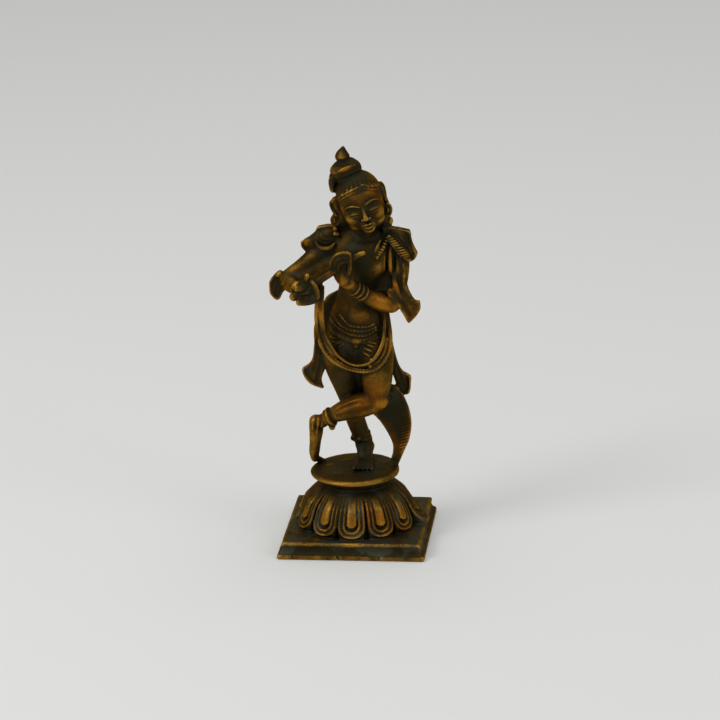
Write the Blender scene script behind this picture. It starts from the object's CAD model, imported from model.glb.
import math

import bpy
import numpy as np
from mathutils import Matrix, Vector
from mathutils.bvhtree import BVHTree


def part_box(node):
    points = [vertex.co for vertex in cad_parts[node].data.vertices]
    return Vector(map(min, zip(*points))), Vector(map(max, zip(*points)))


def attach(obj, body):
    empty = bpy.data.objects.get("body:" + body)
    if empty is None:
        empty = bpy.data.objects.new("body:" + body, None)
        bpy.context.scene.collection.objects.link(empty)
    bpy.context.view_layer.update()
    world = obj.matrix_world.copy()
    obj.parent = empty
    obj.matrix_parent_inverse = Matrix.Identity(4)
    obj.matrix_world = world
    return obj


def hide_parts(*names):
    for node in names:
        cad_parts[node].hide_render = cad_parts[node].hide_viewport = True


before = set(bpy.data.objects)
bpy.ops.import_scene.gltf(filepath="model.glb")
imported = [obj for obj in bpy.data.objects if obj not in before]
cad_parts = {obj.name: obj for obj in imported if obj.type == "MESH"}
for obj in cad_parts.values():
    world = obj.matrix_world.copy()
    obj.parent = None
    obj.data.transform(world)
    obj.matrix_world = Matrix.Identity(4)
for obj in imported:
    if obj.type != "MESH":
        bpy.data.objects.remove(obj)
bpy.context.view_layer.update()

mm = 0.001
beyond = 80  # millimetres, farther out than any point of the figure
capAngles = [math.radians(angle) for angle in (28, 56, 78)]  # the rings of a rounded end
print("stage: frame loaded")

# Everything is modelled in millimetres and brought to metres when it is finished.
# The figure is laid out in parts: its height above the disc is partsHigh of them.
layout = {
    "discThickness": 2.8,
    "partsHigh": 143.84,
    "sight": (-0.107883, 0.943754, -0.312552),
}
figureLow, figureHigh = (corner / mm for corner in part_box("figure"))
plinthLow, plinthHigh = (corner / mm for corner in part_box("lotus_plinth"))
discTop = figureLow.z + layout["discThickness"]
part = (figureHigh.z - discTop) / layout["partsHigh"]
sight = Vector(layout["sight"]).normalized()  # the way the camera looks

figureSpace = Matrix.Translation((0, 0, discTop)) @ Matrix.Scale(part, 4)
headPlace = {"centre": (5, 0, 119), "nod": 5, "lean": -15.5, "turn": 9}
headTurn = (
    Matrix.Rotation(math.radians(headPlace["lean"]), 4, "Y")
    @ Matrix.Rotation(math.radians(headPlace["nod"]), 4, "X")
    @ Matrix.Rotation(math.radians(headPlace["turn"]), 4, "Z")
)
headSpace = figureSpace @ Matrix.Translation(headPlace["centre"]) @ headTurn
headFront = headTurn.to_3x3() @ Vector((0, -1, 0))


def deselectAll():
    if bpy.context.mode != "OBJECT":
        bpy.ops.object.mode_set(mode="OBJECT")
    bpy.ops.object.select_all(action="DESELECT")


def makeActive(piece):
    deselectAll()
    piece.select_set(True)
    bpy.context.view_layer.objects.active = piece


def applyModifier(piece, kind, **settings):
    makeActive(piece)
    modifier = piece.modifiers.new(kind.lower(), kind)
    for name, value in settings.items():
        setattr(modifier, name, value)
    bpy.ops.object.modifier_apply(modifier=modifier.name)


def readPoints(mesh):
    points = np.empty(len(mesh.vertices) * 3)
    mesh.vertices.foreach_get("co", points)
    return points.reshape(-1, 3)


def writePoints(mesh, points):
    mesh.vertices.foreach_set("co", np.ascontiguousarray(points).ravel())
    mesh.update()


def readNormals(mesh):
    normals = np.empty(len(mesh.vertices) * 3)
    mesh.vertex_normals.foreach_get("vector", normals)
    return normals.reshape(-1, 3)


def through(points, steps):
    # a smooth line through hand-placed stations, with this many steps from one to the next
    p = np.array(points, float)
    if len(p) < 3:
        return p[0] + np.linspace(0, 1, steps + 1)[:, None] * (p[1] - p[0])
    if steps < 2:
        return p
    ends = np.vstack([2 * p[0] - p[1], p, 2 * p[-1] - p[-2]])
    t = (np.arange(steps) / steps)[:, None]
    spans = [
        0.5 * (2 * b + (c - a) * t + (2 * a - 5 * b + 4 * c - d) * t**2 + (3 * b - a - 3 * c + d) * t**3)
        for a, b, c, d in zip(ends, ends[1:], ends[2:], ends[3:])
    ]
    return np.vstack(spans + [p[-1:]])


def unit(rows):
    return rows / np.maximum(np.linalg.norm(rows, axis=-1, keepdims=True), 1e-9)


def ease(share):
    share = np.clip(share, 0, 1)
    return share * share * (3 - 2 * share)


def roundForm(sides, rings):
    # a ball to be drawn out, with the ring that each point is on and how far round it lies
    bpy.ops.mesh.primitive_uv_sphere_add(segments=sides, ring_count=rings)
    form = bpy.context.object
    points = readPoints(form.data)
    ring = np.rint(np.arccos(np.clip(-points[:, 2], -1, 1)) / math.pi * rings).astype(int)
    return form, ring, np.arctan2(points[:, 1], points[:, 0])


def limb(stations, space=figureSpace, front=(0, -1, 0), sides=20, steps=4, blunt=0.8):
    # a ball drawn out along stations (x, y, z, half width, half depth)
    way = through([(*s[:4], s[-1]) for s in stations], steps)
    centres = np.array([space @ Vector(p[:3]) for p in way])
    girths = way[:, 3:] * space.to_scale()[0]
    along = unit(np.gradient(centres, axis=0))
    across = unit(np.cross(along, np.array(front, float)))
    rings = list(zip(centres, across * girths[:, :1], np.cross(along, across) * girths[:, 1:]))
    caps = []
    for i, outward in ((0, -1), (-1, 1)):
        middle, wide, thick = rings[i]
        top = along[i] * (outward * blunt * min(girths[i]))
        cap = [(middle + top * math.sin(a), wide * math.cos(a), thick * math.cos(a)) for a in capAngles]
        caps.append(cap + [(middle + top, 0 * wide, 0 * thick)])
    rings = caps[0][::-1] + rings + caps[1]
    form, number, turn = roundForm(sides, len(rings) - 1)
    centre, wide, thick = (np.array([r[k] for r in rings])[number] for k in range(3))
    writePoints(form.data, centre + wide * np.cos(turn)[:, None] + thick * np.sin(turn)[:, None])
    return form


def strand(points, radius, space=figureSpace, sides=10, steps=4, **more):
    return limb([(*p, radius) for p in points], space, sides=sides, steps=steps, **more)


def ball(centre, radii, space=figureSpace, segments=20, rings=12):
    bpy.ops.mesh.primitive_uv_sphere_add(segments=segments, ring_count=rings)
    form = bpy.context.object
    form.data.transform(space @ Matrix.Translation(centre) @ Matrix.Diagonal((*radii, 1)))
    return form


def ring(centre, axis, radius, thickness, space=figureSpace, stretch=(1, 1, 1)):
    bpy.ops.mesh.primitive_torus_add(
        major_radius=radius, minor_radius=thickness, major_segments=36, minor_segments=10)
    form = bpy.context.object
    turn = Vector(axis).to_track_quat("Z", "Y").to_matrix().to_4x4()
    form.data.transform(space @ Matrix.Translation(centre) @ Matrix.Diagonal((*stretch, 1)) @ turn)
    return form


def plate(edges, middle, thickness, turn=0, pivot=0):
    # a flat cast sheet, seen from the front: edges through (x, z), each going on from the last one
    outline, start = [], edges[-1][-1]
    for edge in edges:
        outline += list(through([start, *edge], 6))[:-1]
        start = edge[-1]
    bpy.ops.mesh.primitive_circle_add(vertices=len(outline), fill_type="NGON")
    form = bpy.context.object
    writePoints(form.data, np.array([(x - pivot, -thickness / 2, z) for x, z in outline]))
    bpy.ops.object.mode_set(mode="EDIT")
    bpy.ops.mesh.select_all(action="SELECT")
    bpy.ops.mesh.extrude_region_move(TRANSFORM_OT_translate={"value": (0, thickness, 0)})
    bpy.ops.mesh.select_all(action="SELECT")
    bpy.ops.mesh.normals_make_consistent(inside=False)
    bpy.ops.object.mode_set(mode="OBJECT")
    place = Matrix.Translation((pivot, middle, 0)) @ Matrix.Rotation(turn, 4, "Z")
    form.data.transform(figureSpace @ place)
    return form


def turned(profile, sides, centre=(0, 0)):
    # a turned body about an upright line, its profile as (radius, height) from the foot up
    form, step, turn = roundForm(sides, len(profile) + 1)
    radius, height = np.array([(0, profile[0][1]), *profile, (0, profile[-1][1])])[step].T
    writePoints(form.data, np.stack([
        centre[0] + radius * np.cos(turn), centre[1] + radius * np.sin(turn), height], axis=1))
    return form


def block(cuts):
    # a cube with this many cuts in its faces, to be given a shape by its points
    bpy.ops.mesh.primitive_cube_add(size=2)
    bpy.ops.object.mode_set(mode="EDIT")
    bpy.ops.mesh.select_all(action="SELECT")
    bpy.ops.mesh.subdivide(number_cuts=cuts)
    bpy.ops.object.mode_set(mode="OBJECT")
    return bpy.context.object


def joinForms(name, forms):
    deselectAll()
    for form in forms:
        form.select_set(True)
    bpy.context.view_layer.objects.active = forms[0]
    bpy.ops.object.join()
    piece = bpy.context.object
    piece.name = name
    return piece


def castTogether(name, forms, voxel, rounds):
    # melts forms into one skin, the joins rounded by the smoothing
    piece = joinForms(name, forms)
    applyModifier(piece, "REMESH", mode="VOXEL", voxel_size=voxel)
    applyModifier(piece, "SMOOTH", factor=0.5, iterations=rounds)
    return piece


def treeOf(piece):
    return BVHTree.FromObject(piece, bpy.context.evaluated_depsgraph_get())


def settle(tree, points, depth=0.0, space=figureSpace, lift=0.0):
    # lays a line on a surface: (x, z) at one depth go along the sight, (x, y, z) to the nearest place
    found = []
    for spot in points:
        if len(spot) == 2:
            start = space @ Vector((spot[0], depth, spot[1])) - sight * beyond
            hit, normal = tree.ray_cast(start, sight)[:2]
        else:
            hit, normal = tree.find_nearest(space @ Vector(spot))[:2]
        if hit is not None:
            found.append(hit + normal * lift)
    return found


def carve(points, normals, route, width, height, crease=False):
    # raises or sinks the surface near a route, as one stroke of a modelling tool
    if len(route) < 2:
        return
    route = np.array(route, float)
    low = route.min(0) - width
    high = route.max(0) + width
    near = np.where(np.all((points > low) & (points < high), axis=1))[0]
    if not len(near):
        return
    spots = points[near]
    best = np.full(len(near), 1e9)
    place = np.zeros(len(near))
    travelled = 0
    for a, b in zip(route, route[1:]):
        span = b - a
        length = np.linalg.norm(span)
        t = np.clip((spots - a) @ span / max(length**2, 1e-9), 0, 1)
        away = np.linalg.norm(spots - a - t[:, None] * span, axis=1)
        place = np.where(away < best, travelled + t * length, place)
        best = np.minimum(best, away)
        travelled += length
    share = np.clip(1 - best / width, 0, 1)
    push = share**2 if crease else ease(share)
    fading = min(3 * width, travelled / 3)  # the stroke starts and ends gently
    push *= ease(0.25 + np.minimum(place, travelled - place) / fading)
    points[near] += normals[near] * (height * push)[:, None]


def rounded(width, height, lines, depth=0):
    # strokes of a round tool; lines of (x, z) start from this depth
    return {"width": width, "height": height, "lines": lines, "depth": depth, "crease": False}


def creased(width, height, lines, depth=0):
    # strokes of a tool with a keen edge
    return rounded(width, height, lines, depth) | {"crease": True}


def onHead(groups):
    return [group | {"space": headSpace} for group in groups]


def carveAll(piece, strokes):
    tree = treeOf(piece)
    points = readPoints(piece.data)
    normals = readNormals(piece.data)
    for group in strokes:
        for line in group["lines"]:
            route = settle(tree, through(line, 5), group["depth"], group.get("space", figureSpace))
            carve(points, normals, route, group["width"], group["height"], group["crease"])
    writePoints(piece.data, points)


def bodyForms():
    torso = {
        "core": [
            (1.4, 5, 42, 9, 7), (1.4, 5.6, 48, 14, 9.8), (1.4, 5.8, 55, 15, 10.8),
            (1.4, 4.8, 63, 13.6, 9.9), (1.8, 3.6, 70, 11.6, 9), (2.6, 4, 77, 9.6, 7.8),
            (3.8, 4.6, 84, 9.8, 7.4), (4.6, 4.4, 91, 12.6, 8.6), (4.8, 4.6, 97, 14, 8.8),
            (5, 5.4, 101.4, 12.6, 7.2), (5.4, 5.6, 104.4, 9, 5.6),
        ],
        "neck": [
            (5.2, 5.6, 99, 7.6, 6), (5.6, 4.8, 103.6, 5.6, 5.4), (6, 3.4, 107, 5.1, 5.1),
            (6.2, 2.6, 113, 5, 5.2),
        ],
        "belly": ((2.6, 1.2, 70), (8, 7.4, 7)),
        "chest": [((-0.6, 4, 92.4), (7.6, 4.4, 6.8)), ((10, 4, 92.6), (7.6, 4.4, 6.8))],
        "shoulder": [
            ((-11.4, 3.6, 102), (6, 3.4, 4.4)), ((-17, 3.8, 100.4), (4.6, 2.6, 3)),
            ((-9.4, 4.6, 104.6), (5, 3.4, 2.8)), ((19, 3, 101.6), (5.6, 3.8, 5.8)),
            ((23.4, 3.4, 98), (3.6, 2.8, 4.4)), ((17, 4.4, 104.6), (5.8, 3.4, 2.8)),
        ],
        "seat": [((-4.4, 9.4, 52), (7.6, 6.8, 8)), ((7.2, 9.2, 52), (7.6, 6.8, 8))],
        "lap": [(1.6, 3.6, 56, 9, 8), (3, 4, 48, 7, 7), (4.2, 4, 41, 5.4, 6), (4.4, 3.8, 35, 3.2, 4.4)],
    }
    forms = [
        limb(torso["core"], sides=36, steps=5, blunt=0.5),
        limb(torso["neck"], sides=24),
        limb(torso["lap"], sides=24),
        ball(*torso["belly"]),
    ]
    forms += [ball(*dims) for dims in torso["chest"] + torso["shoulder"] + torso["seat"]]
    return forms


def legForms():
    legs = {
        "standing": [
            (-4.4, 4.6, 60, 7, 7.4), (-5, 4.6, 53, 8.8, 9.2), (-5, 4.4, 46, 8.6, 9),
            (-3.2, 4.8, 36, 6.6, 7.4), (-1.9, 5.6, 28, 5, 6.2), (-0.8, 7.2, 19.5, 4.2, 5.4),
            (1.7, 8, 11.4, 3.9, 4.2), (3.2, 8.4, 5, 4, 4),
        ],
        "instep": [(3.2, 8.2, 7, 3.6, 3.4), (3, 3.4, 3.4, 3.4, 2.4)],
        "sole": [
            (3.4, 12, 2.2, 2.9, 2.9), (3.2, 6, 2, 3.1, 2.6), (3.2, 0.4, 1.5, 4.1, 1.9),
            (3.5, -4.4, 1.2, 4.8, 1.4),
        ],
        "ankleBones": [((-0.3, 7.6, 6.6), (1, 1.4, 1.3)), ((6.4, 7.8, 6.8), (1.2, 1.4, 1.6))],
        "thigh": [
            (7.6, 4.4, 60, 6.6, 7), (8.8, 2.8, 54, 8.2, 9), (9.6, 0.4, 47, 7.6, 8.6),
            (10.2, -3.6, 39, 6.4, 7.2), (10.4, -6, 33.6, 4.8, 5.2),
        ],
        "knee": ((10.9, -6.8, 32.8), (4.5, 4.4, 4.5)),
        "shin": [
            (9.2, -6.6, 31.4, 4.4, 4.4), (4.6, -6.8, 30.6, 5.4, 5), (-1, -5.8, 28.8, 5.1, 4.7),
            (-6.4, -4.4, 26.2, 4.2, 3.8), (-11.2, -2.8, 23.4, 3.1, 3.1), (-15, -1.4, 20.8, 3.2, 3),
        ],
        "foot": [
            (-17.3, 0.6, 21.1, 3.2, 2.9), (-17.3, 0.2, 16.2, 3.2, 2.9), (-17.9, 0.8, 11, 2.6, 3),
            (-18.6, 1.8, 5.8, 2.4, 3.1), (-18.6, 2.6, 2.2, 1.8, 2.3),
        ],
        "prop": [(-18.4, 3.4, 2.4), (-16.6, 5, 0.8), (-14.6, 6.6, -0.8)],
        "propRadius": 1.6,
    }
    return [
        limb(legs["standing"], sides=24),
        limb(legs["thigh"], sides=24),
        limb(legs["instep"], front=(0, 0, 1)),
        limb(legs["sole"], front=(0, 0, 1)),
        *[ball(*dims) for dims in legs["ankleBones"]],
        ball(*legs["knee"]),
        limb(legs["shin"], front=(0, -0.9, 0.4), sides=24),
        limb(legs["foot"]),
        strand(legs["prop"], legs["propRadius"]),
    ]


def toeForms():
    toes = {
        "count": 5,
        "middle": (3.5, -5.4, 1.1),
        "spread": 1.9,
        "radii": (1, 2.2, 0.85),
        "longest": 0.5,
        "slant": 0.25,
    }
    x, y, z = toes["middle"]
    forms = []
    for toe in range(toes["count"]):
        aside = toe - (toes["count"] - 1) / 2
        back = toes["slant"] * abs(aside - toes["longest"])
        forms.append(ball((x + aside * toes["spread"], y + back, z), toes["radii"]))
    return forms


def ankletForms():
    anklets = {
        "crossed": {
            "axis": (-0.86, 0.2, -0.46),
            "rings": [((-10.3, -3.2, 23.7), 3.5, 1), ((-11.7, -2.8, 23), 3.2, 0.8)],
        },
        "standing": {
            "axis": (-0.18, -0.06, 1),
            "rings": [((1.4, 8, 12.3), 3.7, 0.65), ((1.8, 8, 10.4), 3.8, 0.6)],
        },
        "bells": [
            ((-9.8, -4, 19.5), 1.5), ((1, 3.8, 11.4), 1.1), ((-2.2, 7.4, 10.3), 1.1), ((-1.2, 5, 12), 0.8),
            ((5, 7.6, 12.6), 0.9), ((5.4, 8.4, 10), 1), ((3.6, 4.8, 10.4), 0.9),
        ],
        "bellLength": 1.1,
    }
    forms = []
    for side in ("crossed", "standing"):
        for centre, radius, thickness in anklets[side]["rings"]:
            forms.append(ring(centre, anklets[side]["axis"], radius, thickness))
    for centre, radius in anklets["bells"]:
        forms.append(ball(centre, (radius, radius, radius * anklets["bellLength"]), segments=14, rings=8))
    return forms


def armForms():
    arms = {
        "rightUpper": [
            (-5, 6, 98, 6, 5.4), (-11.6, 5.6, 97, 5.4, 5), (-20, 3, 90.8, 4.1, 4.2),
            (-28, 1.2, 85, 3.8, 3.9),
        ],
        "rightFore": [
            (-28.4, 0.6, 84.6, 3.8), (-25.4, -6, 84.2, 3.5), (-21.6, -12, 84, 2.8), (-19, -15, 84, 2.8),
        ],
        "leftUpper": [
            (12.6, 6, 98, 5.6, 5.4), (18.6, 5.6, 97, 5, 5), (19.8, 3.6, 89, 4.8, 4.6),
            (18.2, 0.4, 79, 4.6, 4.4), (17.4, -1.4, 75.2, 4.3, 4.2),
        ],
        "leftFore": [
            (17.4, -1.6, 75, 4.4, 4.2), (12, -5, 77.2, 4.5, 4), (6.6, -8.6, 80.9, 3.2, 3),
            (3, -11.2, 84.1, 2.6, 2.5), (0.4, -13, 87.6, 2.8, 2.6),
        ],
        "drape": [(-7, 2.4, 92.5, 3.2), (-13, 2, 90.4, 3.4), (-20, 0, 86.6, 3.2), (-25, -2, 84.4, 3)],
        "armpit": [(12, 4.4, 93, 4, 3.4), (13.6, 3, 86, 3.6, 3), (13.8, 0.6, 79, 3.4, 3)],
    }
    return [
        limb(arms["drape"]),
        limb(arms["armpit"]),
        limb(arms["rightUpper"], sides=24),
        limb(arms["rightFore"], front=(0, 0, 1)),
        limb(arms["leftUpper"], front=(0.3, -1, 0), sides=24),
        limb(arms["leftFore"], front=(0.3, -0.6, 1), sides=24),
    ]


def bangleForms():
    bangles = {
        "rightWrist": ((-22, -11.2, 84.1), (0.56, -0.8, 0), 3, 0.7),
        "leftCount": 3,
        "first": (5.7, -9.3, 81.7),
        "step": (-1.55, -1.12, 1.4),
        "axis": (-0.62, -0.44, 0.62),
        "radius": 2.95,
        "narrowing": 0.12,
        "thickness": 0.58,
    }
    forms = [ring(*bangles["rightWrist"])]
    for number in range(bangles["leftCount"]):
        centre = Vector(bangles["first"]) + number * Vector(bangles["step"])
        radius = bangles["radius"] - bangles["narrowing"] * number
        forms.append(ring(centre, bangles["axis"], radius, bangles["thickness"]))
    return forms


def handForms():
    hands = {
        "rightPalm": [
            ((-17.4, -15.4, 85.4), (4.8, 3.2, 4.4)), ((-15.8, -15.8, 82), (4, 3, 2.6)),
            ((-19.8, -16.4, 82.2), (2.8, 2, 1.9)),
        ],
        "rightKnuckle": ((-21.8, -16.6, 87.1), (2.3, 2, 2.1)),
        "leftHeel": ((-1.6, -14.8, 91.2), (2.8, 2, 4.2)),
        "leftPalm": [
            (0.6, -13, 86.8, 2.8, 2.5), (-1.6, -13.8, 90.2, 4, 2.2), (-2.8, -14.4, 94.2, 4, 1.9),
            (-3, -14.8, 97.6, 3, 1.5),
        ],
        "fingers": {
            "rightThumb": ([(-17.6, -16.4, 86.6), (-19.6, -17.6, 86.2), (-21.6, -17.6, 86.4)], 1.7),
            "rightFore": ([(-18.4, -16, 87.4), (-17.5, -17.2, 90.2), (-17, -17.4, 92)], 1.2),
            "rightMiddle": (
                [
                    (-16.4, -16, 89.4), (-14.6, -17.8, 88.6), (-13.2, -18.3, 86), (-13, -17.8, 83),
                    (-14.4, -16.8, 81),
                ],
                1.3,
            ),
            "rightLittle": ([(-13.8, -16.4, 81), (-17.4, -17.6, 80.2), (-21, -17.8, 80.2)], 1.5),
            "leftThumb": (
                [(-0.6, -15, 90.4), (0.8, -16.3, 94.6), (1.1, -16.7, 98.8), (0.8, -16.5, 101.4)], 1.15,
            ),
            "leftFore": (
                [
                    (-6.2, -14.6, 92.8), (-6.6, -16, 97), (-4.8, -17, 100.4), (-2.4, -17.2, 101.6),
                    (0.4, -16.8, 101.8),
                ],
                1.1,
            ),
            "leftMiddle": (
                [(-4.8, -14.6, 92.8), (-5, -16.8, 96.8), (-3.2, -17.7, 99.6), (0, -17, 100.2)], 0.95,
            ),
            "leftRing": ([(-3.4, -15, 93), (-3.6, -17, 95.8), (-2.2, -17.7, 97.8), (0, -17, 98.2)], 0.9),
        },
    }
    forms = [ball(*dims) for dims in hands["rightPalm"]]
    forms += [ball(*hands["rightKnuckle"]), ball(*hands["leftHeel"])]
    forms.append(limb(hands["leftPalm"]))
    forms += [strand(route, radius, sides=12) for route, radius in hands["fingers"].values()]
    return forms


def fluteForms():
    flute = {
        "tube": [
            (-23.6, -16, 81.9, 1.9), (-20.4, -15.8, 83.9, 1.9), (-6, -15.1, 93.4, 1.55),
            (2.6, -14.7, 99.2, 1.25), (5, -14.6, 100.7, 1.15), (7, -14.6, 101.5, 1),
        ],
    }
    return [limb(flute["tube"], steps=6)]


# the face has three equal parts: hairline to brow, brow to nose, nose to chin
face = {"chin": -11.2, "hairline": 8.9, "eyes": 0.42, "mouth": 0.62}
faceThird = (face["hairline"] - face["chin"]) / 3
noseBase = face["chin"] + faceThird
browLine = face["chin"] + 2 * faceThird
eyeLine = browLine - face["eyes"] * faceThird
mouthLine = face["chin"] + face["mouth"] * faceThird


def headForms():
    head = {
        "skull": [
            (0, -0.4, 6, 8.9, 8), (0, -1, 0, 9.3, 8.8), (0, -2.2, -5, 8.2, 7.8), (0, -3.6, -8.6, 5.4, 5.6),
        ],
        "chin": ((0, -7.3, face["chin"] + 2.3), (2.9, 2.5, 2.3)),
        "jaw": ((4.2, -3.4, -6.4), (3.8, 4.1, 3.6)),
        "cheek": ((4.4, -4.8, -2.9), (4.2, 3.9, 4.4)),
        "muzzle": ((0, -7.2, mouthLine), (3.7, 2.6, 2.9)),
        "lid": ((3.8, -6.9, eyeLine + 0.1), (2.5, 2.45, 1.75)),
    }
    forms = [limb(head["skull"], headSpace, headFront, sides=36, steps=6, blunt=0.5)]
    forms += [ball(*head[name], headSpace) for name in ("chin", "muzzle")]
    for side in (-1, 1):
        for name in ("jaw", "cheek", "lid"):
            (x, y, z), radii = head[name]
            forms.append(ball((side * x, y, z), radii, headSpace))
    return forms


def featureForms():
    features = {
        "brow": [
            (0.9, -9.3, browLine - 1, 0.3), (2.2, -9.75, browLine + 0.2, 0.42),
            (4.2, -9.15, browLine + 0.85, 0.45), (6.2, -7.9, browLine + 0.5, 0.4),
            (7.6, -6.4, browLine - 0.5, 0.25),
        ],
        "upperLid": [
            (1.5, -8.85, eyeLine - 0.5, 0.2), (2.6, -9.45, eyeLine - 0.15, 0.32),
            (3.9, -9.4, eyeLine - 0.1, 0.34), (5.3, -8.7, eyeLine - 0.25, 0.3),
            (6.5, -7.9, eyeLine - 0.35, 0.2),
        ],
        "lowerLid": [
            (1.7, -8.8, eyeLine - 0.75, 0.2), (2.8, -9.1, eyeLine - 1.3, 0.26),
            (4.2, -8.95, eyeLine - 1.4, 0.26), (5.5, -8.35, eyeLine - 1.05, 0.22),
        ],
        "nose": [
            (0, -8.9, browLine - 0.3, 0.85, 0.8), (0, -9.5, browLine - 2.2, 0.8, 0.9),
            (0, -10.4, noseBase + 2.4, 0.95, 1.05), (0, -11, noseBase + 1.1, 1.2, 1.15),
        ],
        "tip": ((0, -11.1, noseBase + 1), (1.2, 1.15, 1)),
        "wing": ((1.45, -10, noseBase + 0.75), (0.8, 1.15, 0.75)),
        "upperLip": [
            (2.7, -9, mouthLine + 0.05, 0.2), (1.5, -9.75, mouthLine + 0.4, 0.42),
            (0.55, -10.15, mouthLine + 0.65, 0.52), (0, -10.1, mouthLine + 0.5, 0.46),
        ],
        "lowerLip": [
            (-2.2, -9.2, mouthLine - 0.35, 0.25), (-1.1, -9.8, mouthLine - 0.8, 0.55),
            (0, -10, mouthLine - 0.9, 0.66), (1.1, -9.8, mouthLine - 0.8, 0.55),
            (2.2, -9.2, mouthLine - 0.35, 0.25),
        ],
    }
    forms = [limb(features["nose"], headSpace, headFront, sides=16), ball(*features["tip"], headSpace)]
    forms.append(limb(features["lowerLip"], headSpace, headFront))
    for side in (-1, 1):
        for name in ("brow", "upperLid", "lowerLid", "upperLip"):
            route = [(side * x, *rest) for x, *rest in features[name]]
            forms.append(limb(route, headSpace, headFront, sides=12))
        (x, y, z), radii = features["wing"]
        forms.append(ball((side * x, y, z), radii, headSpace))
    return forms


def bothSides(line):
    return [[(side * x, y, z) for x, y, z in line] for side in (-1, 1)]


def faceStrokes():
    socket = [(1.6, -9, eyeLine + 1.7), (3.8, -9, eyeLine + 2), (6.2, -8, eyeLine + 1.5)]
    slit = [(1.7, -9, eyeLine - 0.65), (3.9, -9.4, eyeLine - 0.72), (6, -8.2, eyeLine - 0.62)]
    lidCrease = [(1.4, -9, eyeLine + 0.2), (3.6, -9, eyeLine + 1.35), (6.1, -8, eyeLine + 0.6)]
    groove = [(2, -9.6, noseBase + 0.6), (3.2, -9.2, mouthLine + 1.6)]
    mouth = [(-2.7, -9.2, mouthLine + 0.02), (0, -10.2, mouthLine - 0.12), (2.7, -9.2, mouthLine + 0.02)]
    underNose = [(0, -10.2, noseBase - 0.3), (0, -10, mouthLine + 1)]
    underLip = [(-1.6, -9.2, mouthLine - 2), (1.6, -9.2, mouthLine - 2)]
    groups = [
        rounded(1.5, -0.32, bothSides(socket)),
        creased(0.5, -0.3, bothSides(slit)),
        creased(0.6, -0.28, bothSides(lidCrease)),
        rounded(1.1, -0.22, bothSides(groove)),
        creased(0.55, -0.4, [mouth]),
        rounded(0.7, -0.22, [underNose]),
        rounded(1.2, -0.32, [underLip]),
    ]
    return onHead(groups)


fringe = {
    "wide": 9.3,
    "deep": 9.1,
    "back": 1.6,
    "reach": 72,
    "edge": [
        (-9, 4.2), (-7, 5.7), (-5, 6.6), (-2, 7.6), (1.4, 7.95), (3, 8), (3.8, 7.7), (5.4, 6.3), (7.2, 5.2),
        (9, 4.2),
    ],
    "locks": 5,
    "steps": 16,
    "narrowing": 0.004,
    "lean": 0.05,
    "bow": 0.009,
}
hairCap = {"centre": (0, 2.8, 3.9), "radii": (9.8, 10.6, 10.3)}


def hairline(share, up=0.0):
    # from one temple (-1) to the other (1), parted over the left eye, a swag hanging on each side
    sweep = math.radians(fringe["reach"]) * share
    x = fringe["wide"] * math.sin(sweep)
    inward = 1 - fringe["lean"] * up - fringe["bow"] * up * up
    return (
        x * (1 - fringe["narrowing"] * up * up),
        fringe["back"] - fringe["deep"] * math.cos(sweep) * inward,
        float(np.interp(x, *zip(*fringe["edge"]))) + up,
    )


def hairForms():
    hair = {
        "nape": [
            (5.4, 7.6, 122, 7.6, 5), (4.8, 8.6, 113, 10.4, 4.6), (4.6, 8.4, 106, 12.4, 4.2),
            (4.6, 9.6, 99, 8, 3.4),
        ],
        "bun": [
            (-2.6, 4.6, 11.4, 5.4, 5.2), (-2.4, 4.6, 13.2, 6.4, 5.9), (-2.1, 4.6, 15.3, 6.9, 6.3),
            (-1.9, 4.6, 17.1, 6.3, 5.8), (-1.8, 4.6, 18.5, 4.9, 4.5), (-1.8, 4.5, 19.3, 3.2, 3),
        ],
        "bunBand": [
            (-7, 1.4, 16, 0.8, 0.5), (-4.4, -0.5, 16.7, 1.1, 0.75), (-1.6, -0.9, 17.1, 1.1, 0.75),
            (2.2, 0.3, 17, 0.8, 0.5),
        ],
        "finial": [
            (-1.9, 4.4, 18.6, 2.9), (-1.9, 4.4, 19.6, 2.7), (-1.8, 4.5, 20.4, 2.9), (-1.7, 4.6, 21.4, 3.2),
            (-1.2, 4.6, 23, 2.4), (-0.5, 4.6, 24.6, 1.1), (-0.3, 4.6, 25.1, 0.7),
        ],
        "tuft": [(-6.8, 5, 15.4, 2, 3), (-8.8, 5, 12, 2, 3), (-9.8, 5, 8.2, 1.6, 2.4)],
        "fringe": {"up": 0.9, "wide": 1.3, "deep": 0.55},
    }
    forms = [
        ball(*hairCap.values(), headSpace, segments=36, rings=24),
        limb(hair["nape"], sides=24),
        limb(hair["bun"], headSpace, sides=28, blunt=0.5),
        limb(hair["finial"], headSpace),
        limb(hair["tuft"], headSpace),
        limb(hair["bunBand"], headSpace, headFront),
    ]
    lock, steps = hair["fringe"], fringe["steps"]
    band = [hairline(step / steps, lock["up"]) for step in range(-steps, steps + 1)]
    forms.append(
        limb([(*spot, lock["wide"], lock["deep"]) for spot in band], headSpace, headFront, steps=2)
    )
    return forms


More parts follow.
